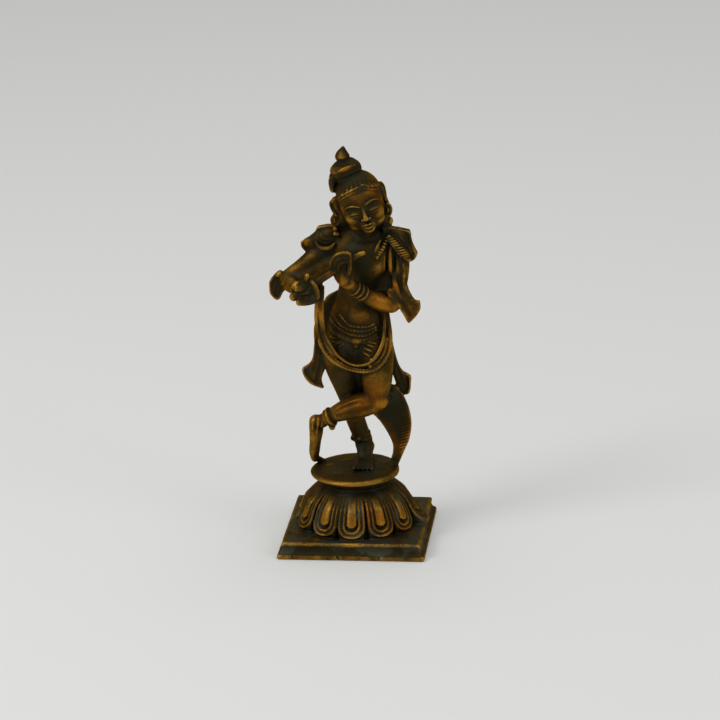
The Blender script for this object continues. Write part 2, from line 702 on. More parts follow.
def hairStrokes():
    hair = {
        "lean": 0.05,
        "parting": 0.33,
        "lock": [(0, 0.9), (0.4, 2.4), (1, 4.2)],
        "curl": [(0, 1.3), (0.6, 2.2), (1, 3)],
        "hem": 0.3,
        "strands": 44,
        "rises": (8, 26, 44, 60),
        "gather": (-0.6, 1),
        "fringed": -3,
        "nape": [(4.8, 0.62, 118), (4.8, 1, 110), (4.6, 0.9, 101)],
        "napeHalf": 8,
        "behind": 14,
        "bun": (-2.3, 4.6),
        "bunDepth": 0.9,
        "coils": [(13, 6.5), (15.6, 6.8)],
    }
    locks, curls = [], []
    for number in range(-fringe["locks"], fringe["locks"]):
        share = (number + 0.5) / fringe["locks"]
        lean = hair["lean"] if share < hair["parting"] else -hair["lean"]
        locks.append([hairline(share + far * lean, up) for far, up in hair["lock"]])
        share += 0.5 / fringe["locks"]
        curls.append([hairline(share + far * lean, up) for far, up in hair["curl"]])
    steps = fringe["steps"]
    hem = [hairline(step / steps, hair["hem"]) for step in range(1 - steps, steps)]
    combed = []
    (x, y, z), (wide, deep, high) = hairCap.values()
    for number in range(hair["strands"]):
        turn = 2 * math.pi * number / hair["strands"]
        line = []
        for rise in hair["rises"]:
            angle, drawn = math.radians(rise), [pull * rise / 60 for pull in hair["gather"]]
            line.append((
                x + wide * math.cos(angle) * math.cos(turn) + drawn[0],
                y + deep * math.cos(angle) * math.sin(turn) + drawn[1],
                z + high * math.sin(angle),
            ))
        combed.append(line if line[0][1] > hair["fringed"] else line[1:])
    nape = [
        [(middle + aside * share, hair["behind"], height) for middle, share, height in hair["nape"]]
        for aside in range(-hair["napeHalf"], hair["napeHalf"] + 1, 2)
    ]
    coils = []
    x, y = hair["bun"]
    for rise, radius in hair["coils"]:
        turns = [2 * math.pi * step / steps for step in range(steps + 1)]
        coils.append([
            (x + radius * math.cos(t), y + hair["bunDepth"] * radius * math.sin(t), rise)
            for t in turns
        ])
    groups = [
        creased(0.8, -0.5, locks),
        rounded(1.2, 0.4, curls),
        rounded(0.65, 0.34, [hem]),
        rounded(0.6, -0.1, combed),
        rounded(0.9, -0.2, coils),
    ]
    return onHead(groups) + [rounded(0.8, -0.3, nape)]


def earForms():
    ears = {
        "leftRim": {"out": 2, "share": 0.8, "drop": 0.42},
        "leftBack": [(-9.8, 3, 4.4, 2.1, 1.6), (-10.2, 3, 1.4, 1.9, 1.6), (-9.4, 2.6, -3, 1.4, 1.4)],
        "rim": [(9.3, 2.4, 5.5), (10.4, 3.6, 5.1), (10.9, 4, 2.9), (10.6, 3.2, 0), (10, 2, -2.4)],
        "rimRadius": 0.75,
        "bowl": [(9.2, 2.6, 4.8, 1, 1.8), (9.9, 2.6, 3, 1, 2), (10, 2.2, -0.6, 0.9, 1.6)],
        "lobe": [(10, 2, -1.6, 1.1, 1.4), (10.4, 2, -5, 1, 1.1)],
        "hoops": [((16, 1.4, 115.9), (0.82, 1, 1.36)), ((-6.9, 1, 111.2), (0.85, 1, 1.18))],
        "hoopRadius": 1.7,
        "hoopThickness": 0.7,
        "hoopBoss": (0.8, 1.4, 1.5),
        "pendants": [
            ((17, 1.8, 111), (1.1, 1.1, 1.8)), ((-6.4, 0.6, 105.4), (1.5, 1.2, 1.1)),
            ((-6.8, 0.8, 107.6), (1.1, 1.1, 1.3)),
        ],
    }
    left = ears["leftRim"]
    leftRim = [(-x - left["out"], y, z * left["share"] - left["drop"]) for x, y, z in ears["rim"]]
    forms = [limb(ears["leftBack"], headSpace)]
    forms += [strand(rim, ears["rimRadius"], headSpace) for rim in (leftRim, ears["rim"])]
    forms += [limb(ears[name], headSpace) for name in ("bowl", "lobe")]
    for centre, stretch in ears["hoops"]:
        forms.append(ring(centre, (0, 1, 0), ears["hoopRadius"], ears["hoopThickness"], stretch=stretch))
        forms.append(ball(centre, ears["hoopBoss"]))
    forms += [ball(*dims) for dims in ears["pendants"]]
    return forms


def scarfForms():
    sheets = {
        "leftShoulder": {
            "edges": [
                [(-9.5, 108.3), (-15, 107.4)], [(-16.2, 104.4), (-22.4, 100.2)],
                [(-21.8, 98), (-19.6, 95.6)], [(-8, 97)], [(-6, 107)],
            ],
            "middle": 5,
            "thickness": 3.6,
        },
        "rightShoulder": {
            "edges": [
                [(18.9, 107.5), (25.1, 106.2)], [(25.3, 103.2)], [(26.4, 99.4), (28.2, 95.9)],
                [(26.8, 93.4), (24, 92.2)], [(17, 95)], [(13, 108)],
            ],
            "middle": 4,
            "thickness": 4.2,
        },
        "rightElbow": {
            "edges": [
                [(-31, 88.6), (-33.6, 87)], [(-36, 83.6), (-35.9, 79)], [(-34.4, 77), (-32.4, 75.4)],
                [(-30.6, 78.6), (-26.6, 81.6)], [(-28, 85)],
            ],
            "middle": 1.4,
            "thickness": 2.4,
        },
        "leftElbow": {
            "edges": [
                [(19, 82.2), (24, 79.8)], [(26, 77.6), (29.2, 76.2)],
                [(29.4, 72.6), (27.4, 69.4), (24.4, 66.4)], [(22.6, 71), (19, 75.4), (16, 79.6)],
                [(16, 83)],
            ],
            "middle": -5,
            "thickness": 1.9,
            "turn": 0.32,
            "pivot": 16,
        },
        "leftTail": {
            "edges": [
                [(-10.6, 76.6), (-12.4, 75)], [(-15.6, 68), (-17.8, 61.5), (-17.9, 54), (-18.6, 48.2)],
                [(-20, 45.3), (-23.5, 42.8)], [(-22.6, 39.8), (-19.7, 36.1), (-14, 33.6)],
                [(-15.1, 37.8), (-13.4, 42.6)], [(-8, 47)], [(-4, 80)],
            ],
            "middle": 6,
            "thickness": 2.5,
        },
        "rightTail": {
            "edges": [
                [(13.4, 66), (15.4, 60), (17, 51.4)], [(19.7, 43.5), (24.1, 39.8)], [(23.2, 32.2)],
                [(20.2, 31.4)], [(18, 35), (15.6, 41.6), (10, 46)], [(8, 66)],
            ],
            "middle": 6,
            "thickness": 2.7,
        },
    }
    scarf = {
        "folds": [
            [
                (-15.4, 0, 102, 0.5), (-14, -0.7, 100.2, 0.85), (-12.2, -1, 99.4, 0.95),
                (-10.1, -0.9, 99.3, 0.95), (-8.4, -0.5, 100.1, 0.85), (-6.9, 0.2, 101.5, 0.5),
            ],
            [
                (15.6, -1.4, 104.2, 0.8), (14.4, -2.6, 101, 1), (12.8, -3.2, 98.4, 1),
                (11.2, -3.6, 95.6, 0.7),
            ],
            [(12.8, -1.4, 103.2, 0.6), (11.2, -2.8, 99.8, 0.8), (9.8, -3.4, 96.2, 0.6)],
            [
                (17.2, -1, 101.6, 0.6), (16.9, -1.4, 97.4, 1), (16.8, -1.5, 92, 1), (17, -0.8, 87.6, 0.8),
                (17.4, 1, 84, 0.6),
            ],
        ],
        "gathers": [
            [
                (18.6, -0.2, 89, 0.8), (18.6, -2, 86, 1.4), (19.2, -3.6, 83, 1.7), (20.6, -3.8, 79.8, 1.3),
                (22.6, -3, 76, 0.6),
            ],
            [
                (22.2, 0.8, 89, 0.8), (22.2, -1, 86, 1.4), (22.9, -2.2, 82.4, 1.6), (24.6, -2.2, 79.2, 1.2),
                (27, -1.4, 76.4, 0.5),
            ],
        ],
        "braid": [
            (16.2, -1.2, 104.6, 1.2), (18.7, -1.7, 102, 1.7), (20.9, -1.8, 99.4, 1.9),
            (23, -1.5, 96.8, 1.8), (24.8, -0.8, 94.6, 1.3),
        ],
        "rims": [
            [(-14.4, 4, 107, 0.8), (-15.8, 3.6, 104.6, 0.8), (-21.8, 3.4, 100.4, 0.7)],
            [
                (-35.6, 0.6, 80.6, 0.6), (-35.2, 0.5, 78.6, 0.8), (-32.6, 0.5, 76, 0.8),
                (-30.6, 0.6, 78.8, 0.5),
            ],
            [(28.8, -0.8, 76, 0.7), (28.8, -0.8, 72.6, 0.7), (27, -1.4, 69.6, 0.7), (24.5, -2.4, 67, 0.6)],
            [
                (15.4, -6, 81.6, 0.4), (16.8, -5.6, 79.4, 0.45), (19.6, -4.8, 76.2, 0.5),
                (22, -4, 71.8, 0.45), (23.9, -3.3, 67.6, 0.4),
            ],
            [(25.4, -2.6, 77, 0.5), (28.6, -1.5, 75.8, 0.5)],
            [(-23, 5, 42.6, 0.7), (-22.2, 5, 39.8, 0.8), (-19.5, 5, 36.4, 0.8), (-14.6, 5, 34.2, 0.6)],
            [(23.8, 4.8, 39.4, 0.7), (23, 4.8, 32.8, 0.7), (20.6, 4.8, 32, 0.6)],
            [(24.9, 2.4, 105.6, 0.8), (25.1, 2.2, 103, 0.8), (26.1, 2.2, 99.4, 0.8), (27.6, 2.4, 96, 0.7)],
        ],
        "knot": ((-31.4, 0.2, 86.8), (1.7, 1.7, 1.7)),
    }
    forms = [plate(**sheet) for sheet in sheets.values()]
    forms += [limb(stations, sides=12) for stations in scarf["folds"] + scarf["gathers"] + scarf["rims"]]
    forms += [limb(scarf["braid"], sides=16), ball(*scarf["knot"])]
    return forms


def hatched(way, steps, left, right):
    # short lines side by side along a way, each from one offset to the other
    return [[(x + left[0], z + left[1]), (x + right[0], z + right[1])] for x, z in through(way, steps)]


def clothStrokes():
    braid = [(16.9, 103.8), (18.7, 101.9), (20.6, 100), (21.9, 97.6), (23.3, 95.7), (25.1, 94.7)]
    lock = [(15.6, 103), (14.2, 100.4), (12.6, 97.8), (11.4, 95.8)]
    hatch = hatched(braid, 2, (-2, -0.5), (1.7, 0.5)) + hatched(lock, 2, (-1.2, 0.5), (1, -0.3))
    return [
        rounded(0.55, -0.5, hatch),
        creased(0.8, -0.35, [
            [(16.2, 102.6), (18.6, 99.8), (20.6, 97), (22, 94.4)],
            [(19.6, 104.4), (22.6, 101.4), (24.6, 98.4), (26, 96)],
            [(21.6, 105.6), (24, 102.6), (24.6, 100.6)], [(14.2, 103), (12.9, 99.8), (11.4, 97.2)],
            [(-12.9, 107.6), (-13.4, 106.4), (-14.1, 104.8)],
        ]),
        creased(1.1, -0.3, [
            [(-14.4, 105.4), (-13.6, 103.2), (-11.4, 102), (-8.2, 102.6)],
            [(-12, 106.8), (-11.6, 105), (-9.8, 104), (-7.4, 104.8)],
        ]),
        creased(1, -0.5, depth=-18, lines=[
            [(-21.2, 84.7), (-18.9, 84.9), (-16.7, 86.5), (-15.6, 88.6)],
            [(-21, 82.5), (-18.4, 83), (-15.8, 82.8), (-14.4, 84)],
        ]),
        rounded(1.2, 0.4, depth=-18, lines=[[(-20.6, 83.6), (-18, 84.1), (-15.8, 85)]]),
        rounded(0.9, 0.32, depth=-1, lines=[
            [(14.6, 96.4), (14.2, 92), (14.4, 88.2)], [(22.2, 94), (22.8, 88.2), (22.2, 83)],
            [(19.6, 96), (19.8, 91), (19.4, 87)],
        ]),
        creased(0.8, -0.3, depth=-1, lines=[
            [(18.3, 99), (18.5, 93), (18, 86)], [(21, 95), (21.3, 89), (20.8, 84)],
        ]),
        rounded(1.6, -0.35, depth=-4, lines=[[(20.6, 77.8), (23.4, 74.4), (25.4, 69.6)]]),
        rounded(1.4, -0.3, depth=1, lines=[
            [(-30, 84.4), (-32.6, 81.6), (-33.4, 78.6)], [(-31.4, 85.6), (-34.2, 83), (-34.9, 80.4)],
            [(-28.6, 82.8), (-31, 80.2), (-32.4, 77.4)],
        ]),
        rounded(1.5, -0.32, depth=6, lines=[
            [(-16.4, 60), (-16.6, 52), (-17.4, 46), (-19, 40.4)],
            [(-14.6, 52), (-15.4, 45.6), (-17, 39), (-17.4, 36)],
            [(-18.4, 46.4), (-20.6, 42.8), (-21.4, 39.6)],
            [(18.4, 49.6), (20.6, 43), (22.2, 37.4), (22.4, 33)],
            [(17.6, 46), (19.2, 41), (20.8, 36), (20.9, 32.8)],
        ]),
    ]


def legStrokes():
    hem = [(-7.6, 23.6), (-1.1, 24.8), (3.3, 26), (7.8, 28.2)]
    weave = hatched(hem, 7, (-0.5, 2.2), (0.6, 0.2))
    return [
        rounded(0.95, 0.5, depth=-6, lines=[
            [(-8.9, 59.4), (-6, 58.4)], [(-8, 57), (-4.4, 59)], [(-6.2, 56), (-3.2, 58.3)],
            [(5.2, 58.4), (9.7, 56.6)], [(4.5, 56.5), (9.1, 54.4)], [(4.2, 54.6), (8.1, 52.2)],
            [(6.8, 58.9), (11, 58.1)], [(-9.6, 61.6), (-6.6, 60.2)],
        ]),
        creased(0.8, -0.35, depth=-6, lines=[
            [(-8.6, 58.3), (-5.4, 58.8)], [(-7.2, 56.4), (-4, 58.6)], [(4.9, 57.6), (9.5, 55.6)],
            [(4.3, 55.7), (8.7, 53.4)], [(6, 58.9), (10.5, 57.4)], [(0.4, 57.4), (0.2, 52), (0.6, 50)],
            [(2.6, 57.2), (2.8, 53), (2.4, 50)],
        ]),
        rounded(0.6, 0.16, depth=-3, lines=[
            [(-9.8, 45.6), (-8, 44.3), (-5.2, 43.9)], [(-9.4, 44.2), (-7.8, 43.1), (-5.6, 42.9)],
        ]),
        rounded(0.55, -0.06, depth=-8, lines=[
            [(5.6, 43.6), (8.6, 43.2), (12.6, 43.6)], [(6, 42.3), (9, 41.9), (12, 42.3)],
            [(6.2, 41), (9, 40.7), (11.6, 41)], [(6.4, 39.7), (8.8, 39.4), (11, 39.7)],
            [(6.6, 38.4), (8.6, 38.2), (10.4, 38.4)],
        ]),
        rounded(1.2, 0.26, depth=-9, lines=[
            [(-8.6, 28.6), (-4.6, 31), (-0.4, 32.9), (3.4, 34.2)],
            [(-6.2, 28), (-2.6, 29.4), (1.2, 30.6), (5.4, 31.4)],
        ]),
        creased(1, -0.15, depth=-9, lines=[
            [(-5.8, 29.4), (-1.4, 31.4), (3.4, 33)], [(-7.8, 26.2), (-2.4, 27.4), (2.4, 28.7), (7.4, 30.4)],
        ]),
        creased(0.5, -0.22, depth=-5, lines=weave),
        rounded(0.9, 0.4, depth=-1, lines=[
            [(-16.3, 23), (-16.2, 19.2), (-17.3, 14)], [(-18.5, 22), (-18.7, 16.4)],
        ]),
        creased(0.7, -0.4, depth=-1, lines=[
            [(-17.4, 23), (-17.4, 20), (-17.8, 16.4)], [(-15, 21.6), (-15.3, 19.4), (-15.8, 17)],
        ]),
    ]


def backStrokes():
    folds = {"count": 5, "highest": 64, "gap": 3.6, "line": [(-9, 15, 2), (1.6, 16.4, -1.8), (12, 15, 2)]}
    heights = [folds["highest"] - folds["gap"] * number for number in range(folds["count"])]
    seat = [[(x, y, height + rise) for x, y, rise in folds["line"]] for height in heights]
    return [
        rounded(3.4, -1, [[(4.8, 13.6, 98), (4.4, 12.8, 88), (2.6, 12, 77), (1.6, 13, 68)]]),
        creased(1.2, -0.9, [[(1.4, 16.6, 58), (1.4, 16.6, 50), (1, 15, 45)]]),
        rounded(1, -0.4, seat),
        rounded(1, 0.5, [
            [(-11, 10, 70), (1.4, 14, 66), (14, 10, 69)], [(-11, 10, 68), (1.4, 14, 64), (14, 10, 67)],
        ]),
        rounded(1.4, -0.45, [
            [(-16.6, 8, 60), (-16.8, 8, 52), (-19, 8, 41)], [(-14.4, 8, 50), (-16.6, 8, 38)],
            [(18.4, 8, 50), (20.8, 8, 42), (22, 8, 34)], [(-32.4, 3, 84), (-33.6, 3, 78.6)],
            [(24.6, -1, 76), (25.6, -1, 70)], [(22, 7, 105), (25, 7, 98)], [(-12, 8, 106), (-18, 7, 100)],
        ]),
    ]


def garlandForms():
    garland = {
        "outer": [
            (-11.4, -14.4, 89, 0.8), (-13.6, -10.6, 80, 1.1), (-14.5, -8, 72, 1.3),
            (-14.3, -6.4, 64.8, 1.35), (-13, -5.9, 57.6, 1.35), (-10.2, -6.2, 52.8, 1.3),
            (-7, -6.8, 50.1, 1.25), (-3, -7.2, 48, 1.2), (1.2, -7.5, 46.7, 1.1), (5.6, -7.9, 46.3, 1.1),
            (9.6, -7.8, 47.2, 1.2), (12.6, -7, 49.8, 1.3), (15, -5.2, 54, 1.3), (16.1, -3.2, 59.2, 1.25),
            (15.4, -0.6, 65.4, 1.2), (14.4, 0.4, 73, 1),
        ],
        "inner": [
            (-10.8, -13.6, 86, 0.6), (-12, -9, 76, 0.75), (-12.2, -7, 68, 0.8), (-11.6, -6.2, 62, 0.85),
            (-9.4, -6.2, 57.4, 0.8), (-6.8, -6.8, 53.6, 0.75), (-3.2, -7.4, 50.7, 0.65),
            (1.2, -7.9, 49, 0.6), (5.6, -8.2, 49.4, 0.65), (8.8, -8.2, 51.2, 0.8), (11.4, -7.4, 54.4, 0.9),
            (13.2, -5.6, 58.6, 0.9), (13.8, -3.4, 63, 0.85), (14, -1.4, 69, 0.8), (14, -0.4, 76, 0.8),
        ],
        "filling": [
            (-12.6, -10.6, 81, 1), (-13.2, -8, 74, 1.35), (-13, -6.2, 66, 1.45), (-12.2, -5.6, 60, 1.4),
            (-9.6, -5.9, 55.2, 1.3), (-6.6, -6.4, 51.8, 0.7),
        ],
        "crossing": [
            (8.4, -7.6, 49, 0.8), (11.8, -7.2, 51.2, 0.9), (14, -5.8, 55, 0.9), (14.8, -4, 60, 0.8),
        ],
        "knots": [
            ((8.8, -8.3, 51.6), 1.1), ((8, -8.2, 48.7), 0.95), ((-2.6, -7.8, 47.8), 0.95),
            ((11.4, -7.5, 50.6), 1.1),
        ],
        "knotShape": (1.15, 0.7, 0.8),
    }
    cords = [garland[name] for name in ("outer", "inner", "filling", "crossing")]
    forms = [limb(cord, sides=14, front=(0.4, -1, 0), steps=5) for cord in cords]
    for centre, size in garland["knots"]:
        radii = [size * share for share in garland["knotShape"]]
        forms.append(ball(centre, radii, segments=12, rings=8))
    return forms


def garlandStrokes():
    # the outer cord's slanting twist, and the seam that parts it in two
    cord = {
        "route": [
            (-15.6, 73), (-15.2, 64), (-13.3, 57), (-11.1, 52.6), (-7.9, 49.5), (-3.7, 46.8), (0.9, 45.4),
            (5.6, 45), (9.9, 46), (13.2, 49), (16.2, 54), (17.4, 59.4),
        ],
        "heart": (2, 68),
        "inset": 0.3,
        "across": 2.1,
        "slant": 0.9,
        "seam": 1.1,
    }
    twist, seam = [], []
    way = through(cord["route"], 6)
    for here, after in zip(way[::2], way[1::2]):
        inward = unit((np.array(cord["heart"]) - here)[None])[0]
        start = here + cord["inset"] * inward
        twist.append([
            tuple(start),
            tuple(start + cord["across"] * inward + cord["slant"] * (after - here)),
        ])
        seam.append(tuple(start + cord["seam"] * inward))
    return [creased(0.5, -0.2, depth=-7, lines=twist), creased(0.7, -0.45, depth=-7, lines=[seam])]


def toParts(point):
    # a place on the made figure, back on the layout that the forms use
    return (*figureSpace.inverted() @ point,)


def girdleForms(tree):
    girdle = {
        "rows": [
            [(-4.6, 71.4), (-1.4, 67.4), (2.1, 66.2), (7.2, 66.3), (10, 67.6)],
            [(-6.9, 70.4), (-4.4, 66.8), (-0.1, 64.6), (5.9, 64.2), (10.4, 65.9)],
            [(-9.1, 70.2), (-6.2, 66.2), (-1.5, 63.1), (3.7, 62), (7.6, 62.7), (10.8, 65)],
            [(-9.8, 66.8), (-6.7, 63.2), (-2.4, 61), (0.4, 60.1), (5.8, 60.5), (11, 62.8)],
        ],
        "depth": -7,
        "cordRadius": 0.5,
        "cordLift": 0.05,
        "beadRadius": 0.68,
        "beadGap": 1.35,
        "bandRadius": 0.7,
        "bandLift": -0.1,
        "clasp": [((2, 59.4), (2.5, 1, 1.6)), ((2, 57.4), (1.4, 1, 1.1))],
        "band": [(-8.8, 64.6), (-4, 60.8), (0.6, 59), (6, 59.2), (11.6, 61.4)],
    }
    depth, flat = girdle["depth"], {"front": (0, 0, 1), "steps": 1, "sides": 8}
    forms = []
    for row in girdle["rows"]:
        line = settle(tree, through(row, 12), depth, lift=girdle["cordLift"])
        forms.append(strand([toParts(point) for point in line], girdle["cordRadius"], **flat))
        travelled = 0
        for a, b in zip(line, line[1:]):
            travelled += (b - a).length
            if travelled > girdle["beadGap"]:
                travelled = 0
                forms.append(ball(toParts(b), (girdle["beadRadius"],) * 3, segments=8, rings=6))
    band = settle(tree, through(girdle["band"], 6), depth, lift=girdle["bandLift"])
    forms.append(strand([toParts(point) for point in band], girdle["bandRadius"], **flat))
    for spot, radii in girdle["clasp"]:
        forms.append(ball(toParts(settle(tree, [spot], depth)[0]), radii))
    return forms


def bladeForms():
    sheet = {
        "edges": [
            [(9, 21.8), (12.6, 16.8), (15.4, 11), (16, 7.8), (15.4, 4), (13.4, -0.8)], [(17.8, -0.8)],
            [(21, 6.8), (23.4, 12.8), (24.2, 19.6), (23.1, 26.4), (20, 33.6)], [(16, 37)], [(8, 32)],
            [(5, 25)],
        ],
        "middle": 3,
        "thickness": 2.1,
    }
    blade = {
        "edge": [
            (20.4, 2.6, 33, 0.5), (22.8, 2.5, 26.4, 0.5), (23.6, 2.5, 19.6, 0.55), (23, 2.5, 13, 0.55),
            (20.7, 2.6, 7, 0.5), (18, 2.8, 1, 0.5),
        ],
        "root": [(11, -1, 31, 4.4, 3.6), (12.6, 1.6, 31.6, 4, 3)],
        "shoulder": ((16.6, 3.4, 33.6), (3.4, 2.2, 3)),
        "foot": ((15.4, 2.6, 0.2), (2.8, 2.6, 1.2)),
    }
    return [
        plate(**sheet),
        limb(blade["edge"], sides=12),
        limb(blade["root"], front=(0, 0, 1)),
        ball(*blade["shoulder"]),
        ball(*blade["foot"]),
    ]


def bladeStrokes():
    quill = [(18.9, 23.4), (19.4, 18.4), (19.3, 13.2), (18.4, 7.6)]
    backQuill = [(18.4, 31), (19.6, 24), (20, 18), (19.2, 12), (17.6, 7), (16.4, 3)]
    behind = 5
    backBarbs = []
    for x, z in through(backQuill, 5):
        backBarbs.append([(x + 0.4, behind, z), (x + 3.4, behind, z + 2.3)])
        backBarbs.append([(x - 0.4, behind, z), (x - 3, behind, z + 2)])
    return [
        rounded(0.5, 0.36, depth=2, lines=hatched(quill, 4, (0, 0), (4.2, 1.7))),
        rounded(0.5, -0.3, backBarbs),
    ]


def discStrokes():
    # the rough top as cast, with hollows worn between the feet
    return [
        rounded(2.6, 0.4, [
            [(-14.4, 1, 0), (-10, 2.4, 0)], [(5, 0, 0), (9.6, 2, 0)], [(11, 4, 0), (14.4, 2.6, 0)],
            [(-8, 6, 0), (-3.4, 9, 0)], [(-9.6, -9, 0), (-4, -11, 0)],
        ]),
        rounded(2, -0.3, [
            [(-12, -6, 0), (-6.4, -4, 0), (-2.4, -2, 0)], [(8.6, -5, 0), (13.4, -3, 0)],
            [(-2, -12.6, 0), (6, -12, 0)],
        ]),
    ]


def discForms():
    disc = {
        "radius": 19.4,
        "flatRadius": 9,
        "rise": 0.5,
        "nod": 0.4,
        "middle": (-0.65, -0.6),
        "rim": [
            (1.2, 0), (0.5, 0.12), (0.12, 0.45), (0, 0.9), (0.03, 1.4), (0.2, 1.9), (0.6, 2.35),
            (1.3, 2.65), (2.4, 2.8),
        ],
    }
    thickness = layout["discThickness"]
    low = discTop - thickness
    profile = [(disc["radius"] - inset, low + rise) for inset, rise in disc["rim"]]
    form = turned(profile + [(disc["flatRadius"], discTop)], 120, disc["middle"])
    points = readPoints(form.data)
    top = points[:, 2] > low + thickness / 2
    points[top, 2] += disc["rise"] * (points[top, 0] - disc["middle"][0]) / disc["radius"]
    points[top, 2] += disc["nod"] * np.clip(points[top, 1] / disc["radius"], -1, 0)
    writePoints(form.data, points)
    return [form]


def castTexture(name, size, depth):
    texture = bpy.data.textures.new(name, "CLOUDS")
    texture.noise_scale = size
    texture.noise_depth = depth
    return texture


castGrain = castTexture("castGrain", 3.5, 3)
pitting = castTexture("pitting", 1, 2)


def roughen(piece, grain, pits):
    # the skin of the casting, as real relief
    for texture, strength in ((castGrain, grain), (pitting, pits)):
        applyModifier(
            piece, "DISPLACE", texture=texture, texture_coords="LOCAL", strength=strength, mid_level=0.5,
        )


def makeFigure():
    # voxel size and rounds of smoothing for each stage of the wax
    wax = {
        "body": (0.6, 14),
        "head": (0.4, 16),
        "cloth": (0.4, 4),
        "cast": (0.28, 2),
        "grain": 0.16,
        "pits": 0.09,
    }
    body = castTogether("bodyWax", bodyForms() + legForms() + armForms(), *wax["body"])
    head = castTogether("headWax", headForms(), *wax["head"])
    cloth = castTogether("clothWax", scarfForms() + bladeForms(), *wax["cloth"])
    tree = treeOf(body)
    print("stage: wax forms made")
    forms = [body, head, cloth] + girdleForms(tree) + toeForms() + ankletForms() + bangleForms()
    forms += handForms() + fluteForms() + featureForms() + hairForms() + earForms()
    forms += garlandForms() + discForms()
    piece = castTogether("castFigure", forms, *wax["cast"])
    print("stage: figure cast as one body,", len(piece.data.vertices), "points")
    strokes = faceStrokes() + hairStrokes() + clothStrokes() + legStrokes() + backStrokes()
    carveAll(piece, strokes + garlandStrokes() + bladeStrokes() + discStrokes())
    applyModifier(piece, "SMOOTH", factor=0.3, iterations=1)
    roughen(piece, wax["grain"], wax["pits"])
    print("stage: figure carved")
    return piece


lotus = {
    "flange": {"width": 64, "low": 0, "high": 2, "inset": 0.5},
    "plate": {"width": 60, "low": 1.6, "high": 7.1},
    "bellTop": 25.5,
    "bellHeight": 18.4,
    "neckRadius": 17.2,
    "neckTop": 28.9,
    "coreRadius": 23.4,
    "petals": 12,
    "reach": 26.2,
    "fullness": 0.76,
    "relief": 2,
}
petal = {
    "fill": 0.96,
    "straight": 0.7,  # how far down its sides run straight, and how much is left for the tip
    "curved": 0.3,
    "tipTurn": 88,
    "shoulder": 0.66,
    "blunt": 0.7,
    "roundness": 2.2,
    "share": [0, 0.2, 0.32, 0.37, 0.41, 0.45, 0.52, 0.61, 0.67, 0.705, 0.74, 0.82, 0.92, 1],
    "height": [1.05, 1.04, 0.92, 0.6, 0.2, 0.6, 0.84, 0.8, 0.55, 0.25, 0.6, 0.88, 0.84, 0.45],
    "bossWide": 0.37,
    "bossLong": 0.2,
    "bossEdge": 0.07,
    "floor": 0.02,
    "floorTo": 0.42,
    "floorEdge": 0.05,
    "fade": 3.2,
    "fadeStart": 0.1,
    "fadeLeast": 0.05,
    "flare": 1.5,
    "flareFrom": 0.62,
    "flareOver": 0.42,
    "lift": 0.5,
    "soleFrom": 0.5,
    "soleOver": 0.35,
    "undercut": 1.7,
    "draft": 0.04,
    "wall": 2.2,
    "lip": 0.5,
    "sunk": 0.4,
    "stray": 3,
    "strayReach": 31,
    "straySag": 0.1,
    "uneven": 2.4,
    "unevenTurn": 0.02,
    "unevenSag": 0.15,
}


def bellRadius(t):
    swell = np.sin(np.clip(t, 0, 1) * math.pi / 2) ** lotus["fullness"]
    return lotus["neckRadius"] + (lotus["reach"] - lotus["neckRadius"]) * swell


def slabForm(size, inset):
    # a square slab, its side drawn in by inset(share of the height)
    form = block(30)
    points = readPoints(form.data)
    share = (points[:, 2] + 1) / 2
    half = size["width"] / 2 - inset(share)
    points[:, :2] *= half[:, None]
    points[:, 2] = size["low"] + share * (size["high"] - size["low"])
    writePoints(form.data, points)
    applyModifier(form, "BEVEL", width=0.8, segments=3, limit_method="ANGLE", angle_limit=math.radians(60))
    return form


def flangeInset(share):
    # drawn in towards both edges
    return lotus["flange"]["inset"] * np.abs(2 * share - 1) ** 3


def plateInset(share):
    # a hollow lower moulding, then a small round one below the top edge
    moulding = {
        "split": 0.68,
        "bulge": 0.4,
        "foot": 1.5,
        "footCurve": 1.6,
        "bead": 0.24,
        "beadOut": 0.25,
        "edgeFrom": 0.88,
        "edge": 0.12,
        "edgeIn": 0.8,
    }
    low = share / moulding["split"]
    edge = np.clip((share - moulding["edgeFrom"]) / moulding["edge"], 0, 1)
    bead = np.clip((share - moulding["split"]) / moulding["bead"], 0, 1)
    hollow = (1 - np.minimum(low, 1)) ** moulding["footCurve"]
    return np.where(
        share < moulding["split"],
        moulding["bulge"] * np.sin(low * math.pi) - moulding["foot"] * hollow,
        moulding["edgeIn"] * edge**2 - moulding["beadOut"] * np.sin(bead * math.pi),
    )


